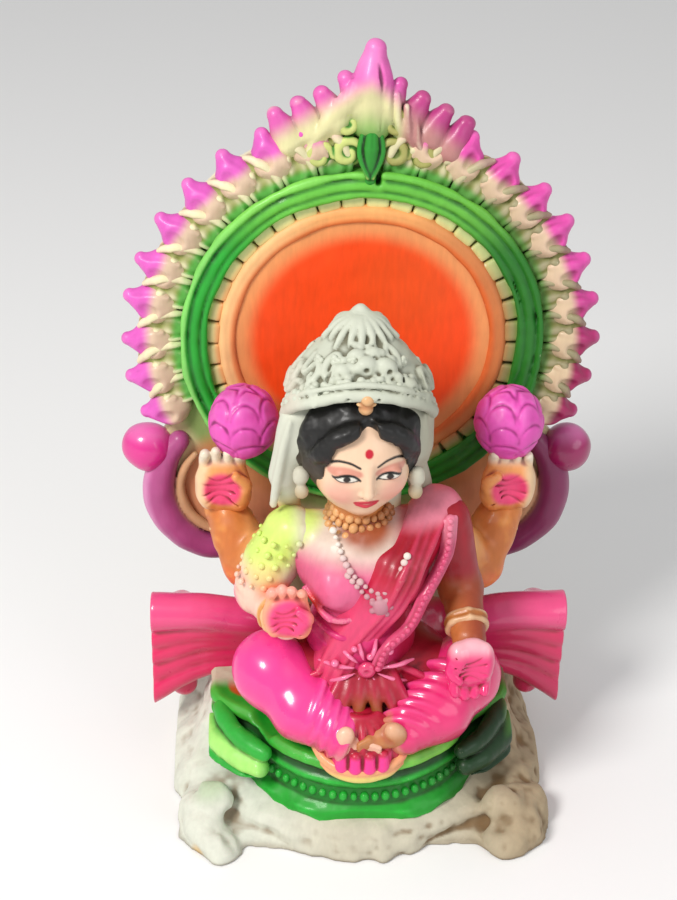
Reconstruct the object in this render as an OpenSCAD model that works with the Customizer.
// Seated four-armed shrine statue in moulded and painted clay.
// A rock pedestal carries a seat mat and an upright halo plate. The figure is put together
// on the mat from separately moulded pieces. Every piece is cut to the ones it is luted to,
// so neighbours meet face to face, and pegs hold the head, the lotus buds and the halo.
// Millimetres, +Z up, the viewer stands on the -Y side, the origin is under the middle.

/* [Pedestal] */
// Width of the rock pedestal at its foot
base_w = 92; // [78:1:112]
// Depth of the statue, from the pedestal's front to the halo's back
base_d = 76; // [64:1:92]
// Height of the pedestal's level top
base_h = 20; // [16:0.5:25]
// How far the pedestal's wall leans in from foot to top
base_lean = 8; // [5:0.5:10]
// Radius of one rock lobe at the foot
lobe_r = 9; // [7:0.5:11]

/* [Seat mat] */
// Width of the mat from side to side
mat_w = 74; // [62:1:90]
// Thickness of the mat on the pedestal's top
mat_h = 6; // [4:0.5:8]
// How far the mat hangs down in front of the top
mat_drop = 12; // [8:0.5:14]
// Radius of the mat's round front
mat_front_r = 28; // [24:0.5:33]
// Radius of one bead in the mat's bead row
mat_bead_r = 1.3; // [0.9:0.1:1.8]
// Radius of the folded rolls at the mat's sides
roll_r = 3.2; // [2.4:0.1:4]

/* [Halo] */
// Height of the halo's centre over the pedestal's top
halo_rise = 85; // [72:1:102]
// Outer radius of the ridged ring
ring_r = 43.5; // [34:0.5:49]
// Width of the ridged ring
ring_w = 5.6; // [4:0.2:7]
// Height of the ridged ring over the plate
ring_t = 5; // [3:0.5:6]
// Thickness of the halo plate
plate_t = 6; // [4:0.5:8]
// Width of the band of small scroll petals outside the ring
scroll_band = 7; // [7:0.5:11]
// Height of the scroll petals over the plate
scroll_t = 3.6; // [2:0.2:5]
// Length of one outer petal beyond the scroll band
petal_l = 8; // [6.5:0.5:10.5]
// Width of one outer petal
petal_w = 9; // [7:0.2:10]
// Thickness of one outer petal
petal_t = 5; // [3:0.5:6]
// Number of outer petals on each side of the finial
petal_n = 10; // [7:1:11]
// Thickness of the disc behind the head
disc_t = 2; // [1:0.5:3]
// Number of dentil blocks in the full circle
dentil_n = 36; // [24:2:42]
// Height of one dentil block over the plate
dentil_t = 3.2; // [2:0.2:5]
// How far the finial stands above the ring
finial_h = 30; // [27:0.5:38]
// Lean of the finial to the statue's left
finial_lean = 0; // [0:0.5:5]
// Radius of the lower scrolls
lobe_scroll_r = 23; // [19:0.5:27]
// Radius of the knob on each lower scroll
knob_r = 6.5; // [5:0.5:8]
// Diameter of the pegs that hold the halo plate in the pedestal
halo_peg_d = 3; // [2:0.5:4]

/* [Body] */
// Distance from the halo plate's face to the figure's axis
fig_back = 38; // [34:0.5:44]
// Width of the hips
hip_w = 44; // [36:0.5:52]
// Distance between the knees' centres
knee_span = 45; // [38:0.5:54]
// Height of the shoulder line over the mat
torso_h = 50; // [42:0.5:60]
// Distance between the shoulder joints
shoulder_w = 35; // [30:0.5:42]
// Width of the waist
waist_w = 26; // [22:0.5:31]
// Diameter of the neck
neck_d = 12; // [10:0.5:14]
// Diameter of the peg that fixes the head in the body
neck_peg_d = 5; // [4:0.5:6]
// Play round a peg in its socket
peg_play = 0.15; // [0.1:0.05:0.3]

/* [Head] */
// Width of the head across the cheeks
head_w = 24; // [18:0.5:26]
// Height of the head from chin to hairline
head_h = 28; // [21:0.5:30]
// Length of neck that shows under the chin
neck_l = 5; // [5:0.5:9]
// Turn of the head to the statue's left, in degrees
head_turn = 10; // [0:1:20]
// Height of the crown over its brim
crown_h = 18; // [16.5:0.5:24]
// Width of the crown at its brim
crown_w = 34; // [27:0.5:37]
// Thickness of the veil round the head
veil_t = 2.6; // [1.8:0.2:4]

/* [Arms] */
// Radius of the arms at the wrist
wrist_r = 3.6; // [3:0.1:4.4]
// Width of a hand's palm
palm_w = 10; // [7.5:0.5:11]
// Length of a raised hand
hand_l = 16.5; // [12.5:0.5:18]
// Distance from one rear hand to the other
rear_span = 69; // [60:0.5:80]
// Height of the rear hands' wrists over the mat
rear_rise = 33; // [26:0.5:36]
// Width of a lotus bud
lotus_w = 19; // [14:0.5:20.5]
// Height of a lotus bud
lotus_h = 21; // [16.5:0.5:24]
// Diameter of the wire pin that holds a bud on its hand
stem_d = 1.6; // [1.2:0.1:2]

/* [Scarf] */
// Distance between the outer ends of the scarf
scarf_span = 103; // [84:1:114]
// Height of the scarf's flared end
scarf_h = 30; // [25:0.5:36]
// Radius of one fold
fold_r = 3.4; // [2.6:0.1:4.1]
// Number of folds in each end
fold_n = 4; // [3:1:5]

/* [Hidden] */

// Facets: round pieces, long arcs, body forms, limbs, small trim and beads
round_fn = 96;
arc_fn = 240;
egg_fn = 18;
limb_fn = 12;
small_fn = 8;
bead_fn = 24;

// Levels and planes that everything is set out from
back_y = base_d / 2;
plate_face_y = back_y - plate_t;
halo_z = base_h + halo_rise;
mat_top_z = base_h + mat_h;
mat_low_z = base_h - mat_drop;
notch_z = base_h - 11;
slab_w = 58;
far = 400;

// Halo radii, from the ring inwards and outwards
dentil_r = ring_r - ring_w;
dentil_l = 3.4;
moulding_r = dentil_r - dentil_l;
moulding_w = 3.6;
disc_r = moulding_r - moulding_w;
scroll_r = ring_r + scroll_band;
petal_tip_r = scroll_r + petal_l;
petal_sunk = 4;
petal_first = 15;
petal_last = 112;
petal_pitch = (petal_last - petal_first) / (petal_n - 1);
plate_r = scroll_r + 2.5;
lobe_scroll_x = ring_r * 0.71;
lobe_scroll_z = -ring_r * 0.95;

// Landmarks of the figure, seen from the middle of its seat. The mat lies under the seat.
fig = [0, plate_face_y - fig_back, mat_top_z];
mat_y = fig[1] + 3;
hip = fig + [0, 1, 10];
waist = fig + [-1, -3, torso_h * 0.46];
chest = fig + [0.5, -1, torso_h * 0.82];
right_shoulder = fig + [-shoulder_w / 2, 2, torso_h - 3];
left_shoulder = fig + [shoulder_w / 2 + 1, 3, torso_h - 1];
neck = fig + [-1.5, 1, torso_h + 2];
right_knee = fig + [-knee_span / 2, -9, 14];
left_knee = fig + [knee_span / 2 + 1, -8, 12.5];
right_ankle = fig + [-7, -22, 4.5];
left_ankle = fig + [8, -22, 5.5];
knee_r = 9.2;
ankle_r = 5.2;
sole = fig + [0.5, -24, 1.5];

// Landmarks of the head
head_mid = neck + [-1, -2, neck_l + head_h / 2];
face_y = head_mid[1] - head_w * 0.52;
crown_depth = crown_w * 0.46;
brow_lap = 0.58;
brim = [head_mid[0], face_y + crown_depth - brow_lap, head_mid[2] + head_h * 0.48];
crown_tip = brim + [0, 5.5, crown_h];

// Landmarks of the arms
right_elbow = right_shoulder + [-7.5, 1, -17.5];
left_elbow = left_shoulder + [4.5, -1, -18];
right_wrist = right_elbow + [6.5, -15, 1.5];
left_wrist = left_knee + [0.5, -3, 13];
right_palm = right_wrist + [0.5, -1.5, 7];
left_palm = left_wrist + [0, -4.5, -4];
rear_y = plate_face_y - ring_t - lotus_w / 2 + 0.8;
right_rear_elbow = [-rear_span / 2 + 7, rear_y - 6, mat_top_z + rear_rise - 5];
left_rear_elbow = [rear_span / 2 - 5.5, rear_y - 6, mat_top_z + rear_rise - 5];
right_rear_wrist = [-rear_span / 2 + 1.5, rear_y, mat_top_z + rear_rise + 6];
left_rear_wrist = [rear_span / 2 + 0.5, rear_y, mat_top_z + rear_rise + 6];
right_rear_palm = right_rear_wrist + [0.5, -0.5, hand_l * 0.62];
left_rear_palm = left_rear_wrist + [0, -0.5, hand_l * 0.62];
right_bud = right_rear_palm + [4, 0.5, hand_l * 0.34 + lotus_h * 0.42];
left_bud = left_rear_palm + [0, 0.5, hand_l * 0.34 + lotus_h * 0.42];

// Rock lobes round the pedestal: share of the half width, share of the half depth,
// size, and how high the lobe reaches as a share of the pedestal's height
rock_lobes = [
    [-0.24, -1, 1.05, 0.16], [0.36, -1, 1.05, 0.16], [0.04, -0.98, 0.9, 0.1],
    [-0.86, -0.92, 1.1, 0.5], [0.98, -0.84, 1.1, 0.5], [-0.62, -0.84, 0.8, 0.3],
    [-1, -0.4, 0.95, 0.66], [1, -0.34, 0.95, 0.66], [-0.96, 0.05, 0.9, 0.7],
    [0.96, 0.12, 0.9, 0.7], [-0.9, 0.55, 0.9, 0.6], [0.9, 0.6, 0.9, 0.6],
    [-0.8, 1, 0.9, 0.6], [0.8, 1, 0.9, 0.6]
];

// ---------------------------------------------------------------- helpers

module ball(p, r, fn = limb_fn) {
    translate(p) sphere(r = r, $fn = fn);
}

module limb(a, ra, b, rb, fn = limb_fn) {
    hull() {
        ball(a, ra, fn);
        ball(b, rb, fn);
    }
}

// Egg-shaped mass with its own half width, half depth and half height
module egg(p, half, turn = [0, 0, 0], fn = egg_fn) {
    hull() translate(p) rotate(turn) scale(half) sphere(r = 1, $fn = fn);
}

// Small bead for the trim on curved pieces
module grain(p, r) {
    ball(p, r, small_fn);
}

// Carries a drawing onto the halo plate's face: x to the right, y up, z to the viewer
module on_halo(lift = 0) {
    translate([0, plate_face_y - lift, halo_z]) rotate([90, 0, 0]) children();
}

// Places a child at an angle from the halo's top, at a radius
module at_clock(angle, radius) {
    rotate([0, 0, -angle]) translate([0, radius]) children();
}

// Pointed petal outline between two arcs: widest at the origin, tip at l on +y, cut off at foot
module petal_outline(w, l, foot = 0) {
    arc_r = (l * l + w * w / 4) / w;
    intersection() {
        translate([arc_r - w / 2, 0]) circle(r = arc_r, $fn = arc_fn);
        translate([w / 2 - arc_r, 0]) circle(r = arc_r, $fn = arc_fn);
        translate([-w, foot]) square([2 * w, 2 * l]);
    }
}

// ---------------------------------------------------------------- pedestal and mat

module rock_lobe(lobe) {
    r = lobe_r * lobe[2];
    x = lobe[0] * (base_w / 2 - r);
    y = lobe[1] * (base_d / 2 - r);
    lean = base_lean / norm([x, y]);
    hull() {
        translate([x, y, 0]) cylinder(r = r, h = base_h * 0.15, $fn = 16);
        ball([x * (1 - lean), y * (1 - lean), base_h * lobe[3]], r * 0.72);
    }
}

module pedestal_form() {
    core_x = base_w / 2 - lobe_r * 1.7;
    core_y = base_d / 2 - lobe_r * 1.6;
    foot = lobe_r * 0.9;
    hull() for (sx = [-1, 1], sy = [-1, 1]) {
        translate([sx * core_x, sy * core_y, 0]) cylinder(r = foot, h = base_h * 0.3, $fn = 16);
        translate([sx * (core_x - base_lean / 2), sy * core_y + base_lean / 2, base_h - 2])
            cylinder(r = foot * 0.7, h = 2, $fn = 16);
    }
    intersection() {
        for (lobe = rock_lobes) rock_lobe(lobe);
        translate([-far, -far, 0]) cube([2 * far, far + back_y, far]);
    }
}

// The halo plate's foot stands in a notch in the pedestal's back
module halo_notch(play = 0) {
    translate([-slab_w / 2 - play, plate_face_y - play, notch_z - play])
        cube([slab_w + 2 * play, plate_t + far, far]);
}

module peg_bores(play = 0) {
    for (x = [-slab_w / 4, slab_w / 4])
        translate([x, plate_face_y - 8, notch_z + 5]) rotate([-90, 0, 0])
            cylinder(d = halo_peg_d + 2 * play, h = plate_t + 7, $fn = bead_fn);
}

module pedestal() color("antiquewhite") difference() {
    pedestal_form();
    halo_notch();
    peg_bores();
}

module mat_layer(inset, z, h) {
    side_r = 9;
    translate([0, mat_y, z]) cylinder(r = mat_front_r - inset, h = h, $fn = 64);
    for (sx = [-1, 1]) {
        translate([sx * (mat_w / 2 - side_r), mat_y + 3, z])
            cylinder(r = side_r - inset, h = h, $fn = 32);
        translate([sx * (mat_w / 2 - side_r - 6), plate_face_y - side_r - 1, z])
            cylinder(r = side_r - inset, h = h, $fn = 32);
    }
}

module mat_form() {
    hull() {
        mat_layer(0, mat_low_z, mat_top_z - mat_low_z - 3);
        mat_layer(3, mat_top_z - 1, 1);
    }
}

module seat_mat() color("limegreen") difference() {
    mat_form();
    pedestal_form();
    halo_notch();
}

// Seat of the figure: everything below it belongs to the mat and the pedestal
module ground_form() {
    mat_form();
    pedestal_form();
}

// Each bead is a dome whose flat side lies on the mat's round front
module mat_bead_row() color("green") for (a = [-45 : 6 : 45])
    translate([0, mat_y, mat_low_z + 5]) rotate([90, 0, a]) translate([0, 0, mat_front_r])
        rotate_extrude($fn = bead_fn) intersection() {
            circle(r = mat_bead_r, $fn = bead_fn);
            square(2 * mat_bead_r);
        }

module side_roll(side) {
    outer = [side * (mat_w / 2 - 3), mat_y - 6, base_h - 2];
    inner = [side * (mat_front_r - 7), mat_y - mat_front_r * 0.74, base_h - 5];
    limb(outer, roll_r, inner, roll_r);
    limb(outer + [0, 0, 5], roll_r * 0.9, inner + [side, 1, 5], roll_r * 0.9);
}

module mat_side_rolls() color("yellowgreen") difference() {
    union() {
        side_roll(-1);
        side_roll(1);
    }
    ground_form();
}

// ---------------------------------------------------------------- halo

module lower_lobes(r) {
    for (sx = [-1, 1]) translate([sx * lobe_scroll_x, lobe_scroll_z]) circle(r = r, $fn = round_fn);
}

module halo_plate() color("cornsilk") difference() {
    on_halo() mirror([0, 0, 1]) linear_extrude(height = plate_t) {
        circle(r = plate_r, $fn = round_fn);
        lower_lobes(lobe_scroll_r);
        translate([-slab_w / 2, notch_z - halo_z]) square([slab_w, halo_z - notch_z]);
        rotate([0, 0, -finial_lean])
            polygon([[-14, plate_r - 8], [14, plate_r - 8], [0, ring_r + finial_h * 0.8]]);
    }
    peg_bores();
}

module halo_pegs() color("burlywood") peg_bores();

module halo_disc() color("orangered") on_halo() rotate_extrude($fn = round_fn)
    polygon([[0, 0], [disc_r, 0], [disc_r, disc_t], [disc_r * 0.8, disc_t * 0.7], [0, disc_t * 0.5]]);

module halo_inner_moulding() color("peachpuff") on_halo() rotate_extrude($fn = round_fn)
    intersection() {
        translate([disc_r + moulding_w / 2, 1]) circle(d = moulding_w, $fn = bead_fn);
        translate([disc_r, 0]) square([moulding_w, moulding_w]);
    }

module halo_dentils() color("palegreen") on_halo() for (i = [0 : dentil_n - 1])
    at_clock((i + 0.5) * 360 / dentil_n, moulding_r)
        linear_extrude(height = dentil_t) {
            width = 2 * PI * moulding_r / dentil_n * 0.7;
            translate([-width / 2, width / 2]) square([width, dentil_l - width / 2]);
            translate([0, width / 2]) circle(d = width, $fn = bead_fn);
        }

module halo_ring() color("limegreen") on_halo() rotate_extrude($fn = round_fn) polygon([
    [dentil_r, 0], [ring_r, 0], [ring_r, ring_t * 0.7], [ring_r - ring_w * 0.15, ring_t],
    [ring_r - ring_w * 0.35, ring_t], [ring_r - ring_w * 0.5, ring_t * 0.6],
    [ring_r - ring_w * 0.65, ring_t * 0.9], [ring_r - ring_w * 0.85, ring_t * 0.9],
    [dentil_r, ring_t * 0.6]
]);

module halo_scroll_petals() color("khaki") on_halo() difference() {
    for (i = [0 : 2 * petal_n - 1]) {
        angle = petal_first + (i % petal_n) * petal_pitch - petal_pitch / 2;
        at_clock(i < petal_n ? angle : -angle, ring_r) linear_extrude(height = scroll_t) {
            translate([0, scroll_band * 0.55]) circle(r = scroll_band * 0.3, $fn = bead_fn);
            translate([-scroll_band * 0.15, 0.05]) square([scroll_band * 0.3, scroll_band * 0.5]);
        }
    }
    finial_scroll_shapes();
    lower_scroll_shapes();
}

// Each outer petal gives way to the crest, the lower scrolls and the knobs
module halo_outer_petals() color("orchid") on_halo() difference() {
    for (side = [-1, 1], i = [0 : petal_n - 1])
        at_clock(side * (petal_first + i * petal_pitch), scroll_r - petal_sunk)
            linear_extrude(height = petal_t) petal_outline(petal_w, petal_l + petal_sunk, petal_sunk - 0.8);
    finial_petal_shapes();
    finial_scroll_shapes();
    lower_scroll_shapes();
    knob_shapes(0);
}

module halo_finial() color("mediumorchid") on_halo() finial_petal_shapes();

// Tall middle petal of the halo's crest, with two lower ones leaning on each side of it
module finial_petal_shapes() at_clock(finial_lean, 0) {
    crest = finial_h * 0.56;
    translate([0, ring_r + finial_h - crest]) linear_extrude(height = petal_t)
        petal_outline(petal_w, crest);
    for (side = [-1, 1], i = [1 : 2])
        translate([side * (petal_w * 0.56 * i + 0.1), ring_r + finial_h * (0.62 - 0.17 * i)])
            linear_extrude(height = petal_t - i * 0.6)
                petal_outline(petal_w * 0.54, finial_h * 0.34, 0.4);
}

module finial_leaf() color("green") on_halo() at_clock(finial_lean, ring_r + 0.3)
    linear_extrude(height = petal_t - 1)
        petal_outline(petal_w * 0.4, finial_h * 0.42);

module finial_scrolls() color("darkkhaki") on_halo() finial_scroll_shapes();

module finial_scroll_shapes() at_clock(finial_lean, ring_r)
    for (side = [-1, 1]) linear_extrude(height = scroll_t) {
        translate([side * petal_w * 0.52, finial_h * 0.1]) circle(r = petal_w * 0.26, $fn = bead_fn);
        translate([side * petal_w * 0.54, finial_h * 0.29]) circle(r = petal_w * 0.3, $fn = bead_fn);
        translate([side * petal_w * 0.53 - 0.8, finial_h * 0.1]) square([1.6, finial_h * 0.19]);
    }

module lower_scroll_shapes() linear_extrude(height = scroll_t) difference() {
    lower_lobes(lobe_scroll_r);
    lower_lobes(lobe_scroll_r - 7);
    translate([-slab_w / 2, -far]) square([slab_w, 2 * far]);
    circle(r = ring_r + 1.5, $fn = round_fn);
}

module halo_lower_scrolls() color("darkorchid") on_halo() difference() {
    lower_scroll_shapes();
    knob_shapes(0);
}

module knob_shapes(inset) {
    for (sx = [-1, 1]) translate([sx * (lobe_scroll_x + lobe_scroll_r - 1.5), lobe_scroll_z + 11, 0])
        cylinder(r = knob_r - inset, h = petal_t, $fn = round_fn);
}

module halo_knobs() color("mediumvioletred") on_halo() knob_shapes(0);

// ---------------------------------------------------------------- lower body

module lap_form() {
    egg(hip, [hip_w / 2, 15, 12]);
    limb(hip + [-9, -6, 1], 10, right_knee, knee_r * 0.9);
    limb(hip + [9, -6, 1], 10, left_knee, knee_r * 0.9);
    egg(fig + [0, -9, 4], [24, 13, 8]);
}

module lap() color("crimson") difference() {
    lap_form();
    ground_form();
    halo_notch();
}

// Thigh end, shin and ankle in one folded sleeve of cloth
module leg_form(knee, ankle) {
    middle = (knee + ankle) / 2 + [0, -1, -1];
    limb(knee, knee_r, middle, knee_r * 0.86);
    limb(middle, knee_r * 0.86, ankle, ankle_r);
}

module right_leg() color("hotpink") difference() {
    leg_form(right_knee, right_ankle);
    lap_form();
    ground_form();
}

module left_leg() color("deeppink") difference() {
    leg_form(left_knee, left_ankle);
    leg_form(right_knee, right_ankle);
    lap_form();
    ground_form();
}

module lower_form() {
    lap_form();
    leg_form(right_knee, right_ankle);
    leg_form(left_knee, left_ankle);
    ground_form();
}

module foot_form(ankle, side) {
    toes = ankle + [side * 10, -3, -1];
    limb(ankle, ankle_r * 0.72, toes, 2.6);
}

module right_foot() color("peru") difference() {
    foot_form(right_ankle, 1);
    lower_form();
}

module left_foot() color("peru") difference() {
    foot_form(left_ankle, -1);
    foot_form(right_ankle, 1);
    lower_form();
}

module fan_form() {
    for (a = [-44 : 22 : 44])
        limb(sole + [0, 1.5, 3], 2, sole + [14 * sin(a), -3.6 + 2 * (1 - cos(a)), 3 - 11 * cos(a)], 3.2, 10);
}

module feet_form() {
    foot_form(right_ankle, 1);
    foot_form(left_ankle, -1);
    lower_form();
}

module pleat_fan() color("crimson") difference() {
    fan_form();
    feet_form();
}

module pleat_hem() color("orange") difference() {
    for (a = [-48 : 16 : 48])
        if (a < 48) limb(
            sole + [15 * sin(a), -4.6 + 2 * (1 - cos(a)), 2 - 12.5 * cos(a)], 1.6,
            sole + [15 * sin(a + 16), -4.6 + 2 * (1 - cos(a + 16)), 2 - 12.5 * cos(a + 16)], 1.6,
            small_fn
        );
    fan_form();
    feet_form();
}

// ---------------------------------------------------------------- upper body

module torso_form() {
    limb(hip + [0, -2, 2], 13, waist, waist_w / 2 - 1);
    egg(waist, [waist_w / 2, 10, 9]);
    limb(waist + [0, 1, 0], waist_w / 2 - 2, chest + [0, 2, 0], 12);
    egg(chest, [17, 11, 12]);
    limb(right_shoulder + [3, 0, -1], 6, chest + [3, 2, 2], 8);
    limb(left_shoulder + [-3, 0, -1], 6, chest + [-3, 2, 2], 8);
    egg(chest + [-7, -6, -2], [6.5, 6, 6]);
    egg(chest + [7, -6, -2], [6.5, 6, 6]);
}

module neck_peg(play = 0) {
    translate(neck + [0, 0, -12]) cylinder(d = neck_peg_d + 2 * play, h = 13, $fn = bead_fn);
}

module torso() color("pink") difference() {
    torso_form();
    lower_form();
    neck_peg(peg_play);
}

module body_form() {
    torso_form();
    lower_form();
}

// End of the sari over the left shoulder, across the chest to the right of the waist
module drape_form() {
    limb(left_shoulder + [-2, 2, 2], 7, chest + [5, -6, 1], 7);
    limb(chest + [5, -6, 1], 7, waist + [-3, -5, 1], 6.5);
    limb(waist + [-3, -5, 1], 6.5, hip + [-8, -12, 4], 6);
}

module sari_drape() color("crimson") difference() {
    drape_form();
    body_form();
    neck_form();
}

module sari_border() color("palevioletred") difference() {
    bend([left_shoulder + [4, -4, 6], chest + [12.5, -9.5, 0], waist + [7, -11, 2]], 1.5);
    drape_form();
    body_form();
    left_arm_form();
}

module bend(points, r) {
    for (i = [0 : len(points) - 2]) limb(points[i], r, points[i + 1], r);
}

module waist_rosette() color("deeppink") difference() {
    middle = waist + [1, -11, -1];
    union() {
        egg(middle, [3, 3.4, 3]);
        for (a = [0 : 60 : 300]) grain(middle + [3.4 * cos(a), 0.8, 3.4 * sin(a)], 2.2);
    }
    drape_form();
    body_form();
}

// ---------------------------------------------------------------- head

module neck_form() {
    limb(neck, neck_d / 2, head_mid + [0, 1, -head_h * 0.3], neck_d / 2);
}

module head_form() {
    egg(head_mid, [head_w / 2, head_w * 0.52, head_h / 2]);
    egg(head_mid + [1, -2, -head_h * 0.27], [head_w * 0.32, head_w * 0.34, head_h * 0.23]);
    neck_form();
}

module head() color("navajowhite") {
    difference() {
        head_form();
        body_form();
    }
    neck_peg();
}

// Rounded opening that leaves the face free of hair and veil
module face_opening(grow = 0) {
    turned = head_mid + [sin(head_turn) * 3, -head_w * 0.55, -head_h * 0.16];
    egg(turned, [head_w * 0.5 + grow, head_w * 0.55, head_h * 0.5 + grow]);
}

module hair_form() {
    egg(head_mid + [0, 1.5, 1.5], [head_w / 2 + 1.6, head_w * 0.52 + 1, head_h / 2 + 0.6]);
}

module hair() color("black") difference() {
    hair_form();
    face_opening();
    head_form();
    body_form();
}

module crown_form() {
    hull() {
        egg(brim, [crown_w / 2, crown_depth, 6], [10, 0, 0]);
        egg(brim + [0, 2.5, crown_h * 0.36], [crown_w * 0.4, crown_w * 0.38, 5]);
    }
    hull() {
        egg(brim + [0, 2.5, crown_h * 0.36], [crown_w * 0.4, crown_w * 0.38, 5]);
        egg(brim + [0, 4, crown_h * 0.66], [crown_w * 0.2, crown_w * 0.2, 5]);
    }
    hull() {
        egg(brim + [0, 4, crown_h * 0.66], [crown_w * 0.2, crown_w * 0.2, 5]);
        ball(crown_tip - [0, 0, 1.4], 1.4);
    }
}

module crown() color("whitesmoke") difference() {
    crown_form();
    hair_form();
    head_form();
}

module floret_form() for (row = [0 : 2], i = [-2 : 2]) {
    turn = i * (34 - row * 4);
    reach = crown_w * (0.48 - row * 0.09);
    grain(brim + [reach * sin(turn), 1.5 + row - reach * cos(turn), 1 + row * crown_h * 0.22], 2);
}

module crown_florets() color("white") difference() {
    floret_form();
    crown_form();
    hair_form();
    head_form();
    egg(head_mid, [1, 1, 1]);
}

module forehead_ornament() color("goldenrod") difference() {
    for (i = [0 : 2]) ball([head_mid[0] + 1.2, face_y + 0.1 + i * 1.1, head_mid[2] + 6 + i * 2.3], 1.3);
    head_form();
    hair_form();
    crown_form();
    floret_form();
}

module veil_form() {
    egg(head_mid + [0, 4, 3], [crown_w / 2 + veil_t * 0.6, head_w * 0.62, head_h * 0.62]);
    limb(head_mid + [-10, 4, 0], 7, right_shoulder + [2, 5, 3], 5);
    limb(head_mid + [10, 4, 0], 6, left_shoulder + [-2, 5, 4], 5);
    limb(head_mid + [0, 7, -2], 9, chest + [0, 8, 6], 7);
}

module veil() color("gainsboro") difference() {
    veil_form();
    face_opening(1);
    hair_form();
    head_form();
    crown_form();
    drape_form();
    body_form();
}

module earrings() color("ivory") difference() {
    for (sx = [-1, 1]) {
        grain(head_mid + [sx * (head_w / 2 + 1.4), -3, -4], 2.4);
        grain(head_mid + [sx * (head_w / 2 + 1.2), -3.4, -7.4], 2);
    }
    veil_form();
    hair_form();
    head_form();
    body_form();
    drape_form();
}

module choker() color("tan") difference() {
    for (a = [-100 : 20 : 100])
        grain(neck + [neck_d * 0.56 * sin(a), -neck_d * 0.56 * cos(a), 1.4], 1.7);
    head_form();
    body_form();
    drape_form();
    veil_form();
    hair_form();
}

// Bead string laid over the chest in a curve that hangs between the shoulders
module necklace() color("white") difference() {
    for (t = [-1 : 0.2 : 1])
        grain(chest + [9.5 * t, -9.6 + 6.5 * t * t, 1 + 11 * t * t], 1.8);
    body_form();
    drape_form();
    head_form();
    veil_form();
    choker_zone();
}

module choker_zone() {
    translate(neck + [0, 0, -0.6]) cylinder(r = neck_d * 0.56 + 1.9, h = 4, $fn = 32);
}

// ---------------------------------------------------------------- arms

module right_arm_form() {
    limb(right_shoulder, 6, right_elbow, 5);
    limb(right_elbow, 5, right_wrist, wrist_r);
}

module left_arm_form() {
    limb(left_shoulder, 6, left_elbow, 4.8);
    limb(left_elbow, 4.8, left_wrist, wrist_r);
}

module rear_arm_form(shoulder, elbow, wrist) {
    limb(shoulder + [0, 6, -6], 5, elbow, 4.8);
    limb(elbow, 4.8, wrist, wrist_r + 0.6);
}

module right_rear_form() {
    rear_arm_form(right_shoulder, right_rear_elbow, right_rear_wrist);
}

module left_rear_form() {
    rear_arm_form(left_shoulder, left_rear_elbow, left_rear_wrist);
}

module right_front_arm() color("palegoldenrod") difference() {
    right_arm_form();
    body_form();
    veil_form();
    drape_form();
}

module left_front_arm() color("indianred") difference() {
    left_arm_form();
    body_form();
    veil_form();
    drape_form();
}

module right_rear_arm() color("chocolate") difference() {
    right_rear_form();
    right_arm_form();
    body_form();
    veil_form();
    drape_form();
}

module left_rear_arm() color("chocolate") difference() {
    left_rear_form();
    left_arm_form();
    body_form();
    veil_form();
    drape_form();
}

// Open hand: palm, four fingers side by side and a thumb. Up is where the fingers point.
module hand_form(palm, up, thumb) {
    tip = hand_l * 0.5;
    egg(palm, [palm_w / 2, 2.6, hand_l * 0.36]);
    for (i = [-1.5 : 1 : 1.5])
        limb(palm + [i * palm_w * 0.22, 0, up * 2], 1.6,
             palm + [i * palm_w * 0.24, -1, up * (tip - abs(i) * 0.7)], 1.3, small_fn);
    limb(palm + [thumb * palm_w * 0.3, 0, -up * 2], 1.7,
         palm + [thumb * palm_w * 0.62, -1.5, up * 2], 1.4, small_fn);
    limb(palm + [0, 0.5, -up * hand_l * 0.2], 3, palm + [0, 1, -up * hand_l * 0.36], 3, 10);
}

module right_front_hand() color("pink") difference() {
    hand_form(right_palm, 1, 1);
    right_arm_form();
    body_form();
    drape_form();
}

module left_front_hand() color("pink") difference() {
    hand_form(left_palm, -1, -1);
    left_arm_form();
    body_form();
}

module right_rear_hand() color("sandybrown") difference() {
    hand_form(right_rear_palm, 1, 1);
    right_rear_form();
    lotus_pin(right_rear_palm, right_bud, peg_play);
    veil_form();
}

module left_rear_hand() color("sandybrown") difference() {
    hand_form(left_rear_palm, 1, -1);
    left_rear_form();
    lotus_pin(left_rear_palm, left_bud, peg_play);
    veil_form();
}

module bangle(a, b, r) {
    mid = a * 0.3 + b * 0.7;
    step = (b - a) / norm(b - a) * 0.9;
    limb(mid - step, r, mid + step, r, 10);
}

module bangles() color("gold") difference() {
    union() {
        bangle(right_elbow, right_wrist, wrist_r + 1.7);
        bangle(left_elbow, left_wrist, wrist_r + 1.7);
        bangle(right_rear_elbow, right_rear_wrist, wrist_r + 1.8);
        bangle(left_rear_elbow, left_rear_wrist, wrist_r + 1.8);
    }
    right_arm_form();
    left_arm_form();
    right_rear_form();
    left_rear_form();
    body_form();
    drape_form();
    hand_form(right_palm, 1, 1);
    hand_form(left_palm, -1, -1);
    hand_form(right_rear_palm, 1, 1);
    hand_form(left_rear_palm, 1, -1);
}

// Wire pin from a rear hand up into its bud
module lotus_pin(palm, bud, play = 0) {
    reach = bud - palm;
    lean = acos(reach[2] / norm(reach));
    turn = atan2(reach[1], reach[0]);
    translate(palm) rotate([0, lean, turn])
        cylinder(d = stem_d + 2 * play, h = norm(reach), $fn = bead_fn);
}

module right_lotus_pin() color("silver") lotus_pin(right_rear_palm, right_bud);

module left_lotus_pin() color("silver") lotus_pin(left_rear_palm, left_bud);

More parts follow.
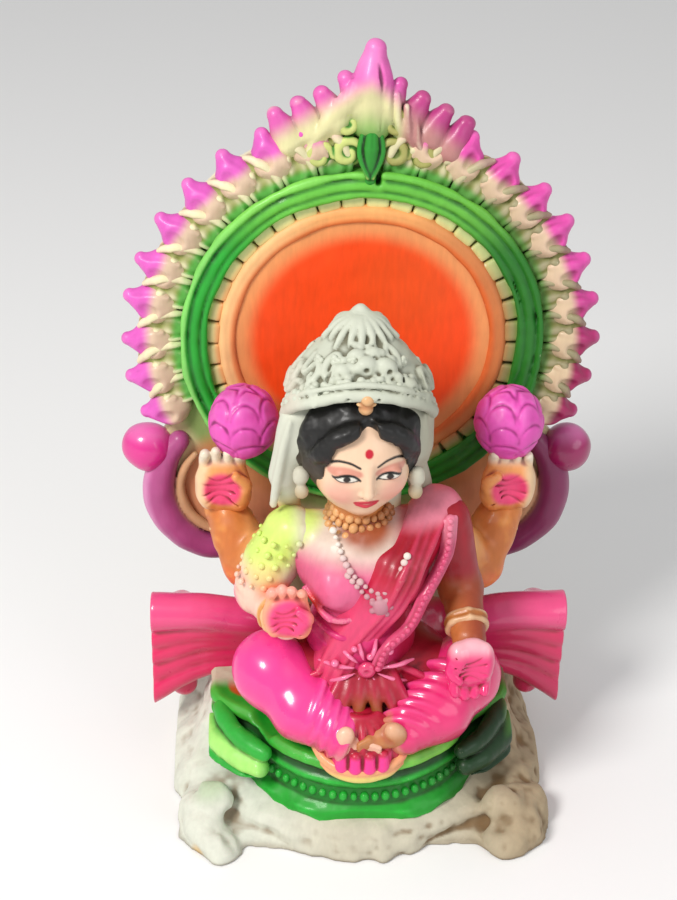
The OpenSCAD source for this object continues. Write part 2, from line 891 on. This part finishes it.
module lotus_form(bud) {
    egg(bud, [lotus_w * 0.46, lotus_w * 0.46, lotus_h * 0.48]);
    for (a = [30 : 60 : 330])
        egg(bud + [lotus_w * 0.26 * cos(a), lotus_w * 0.26 * sin(a), -lotus_h * 0.04],
            [lotus_w * 0.24, lotus_w * 0.24, lotus_h * 0.42], fn = 10);
}

// Nothing of a bud passes behind the front of the halo's ring
module halo_front() {
    translate([-far, plate_face_y - ring_t, 0]) cube([2 * far, far, far]);
}

module right_lotus() color("orchid") difference() {
    lotus_form(right_bud);
    hand_form(right_rear_palm, 1, 1);
    right_rear_form();
    lotus_pin(right_rear_palm, right_bud, peg_play);
    halo_front();
}

module left_lotus() color("orchid") difference() {
    lotus_form(left_bud);
    hand_form(left_rear_palm, 1, -1);
    left_rear_form();
    lotus_pin(left_rear_palm, left_bud, peg_play);
    halo_front();
}

// ---------------------------------------------------------------- scarf

// One flared end: folds that run out from beside the hip, joined by a thin web
module scarf_form(side) {
    y = right_rear_elbow[1];
    top_z = mat_top_z + 17;
    reach = scarf_span / 2 - fold_r;
    root = [side * (hip_w / 2 - 2), y, top_z - 7];
    for (i = [0 : fold_n - 1]) {
        tip = [side * reach, y, top_z - fold_r - i * (scarf_h - 2 * fold_r) / (fold_n - 1)];
        limb(root - [0, 0, i * 3], fold_r * 0.8, tip, fold_r, 10);
    }
    hull() {
        ball(root, 1.8, 10);
        ball(root - [0, 0, fold_n * 3 - 3], 1.8, 10);
        ball([side * (reach + fold_r - 2.4), y, top_z - fold_r], 2.4, 10);
        ball([side * (reach + fold_r - 2.4), y, top_z - scarf_h + fold_r], 2.4, 10);
    }
    limb(root, fold_r, root + [-side * 5, -6, 4], 4);
}

module scarf_right() color("hotpink") difference() {
    scarf_form(-1);
    body_form();
    right_rear_form();
    right_arm_form();
    halo_front();
}

module scarf_left() color("deeppink") difference() {
    scarf_form(1);
    body_form();
    left_rear_form();
    left_arm_form();
    halo_front();
}

pedestal();
seat_mat();
mat_bead_row();
mat_side_rolls();
halo_plate();
halo_pegs();
halo_disc();
halo_inner_moulding();
halo_dentils();
halo_ring();
halo_scroll_petals();
halo_outer_petals();
halo_finial();
finial_leaf();
finial_scrolls();
halo_lower_scrolls();
halo_knobs();
lap();
right_leg();
left_leg();
right_foot();
left_foot();
pleat_fan();
pleat_hem();
torso();
sari_drape();
sari_border();
waist_rosette();
choker();
necklace();
head();
hair();
forehead_ornament();
crown();
crown_florets();
veil();
earrings();
right_front_arm();
left_front_arm();
right_front_hand();
left_front_hand();
right_rear_arm();
left_rear_arm();
right_rear_hand();
left_rear_hand();
bangles();
right_lotus();
left_lotus();
right_lotus_pin();
left_lotus_pin();
scarf_right();
scarf_left();
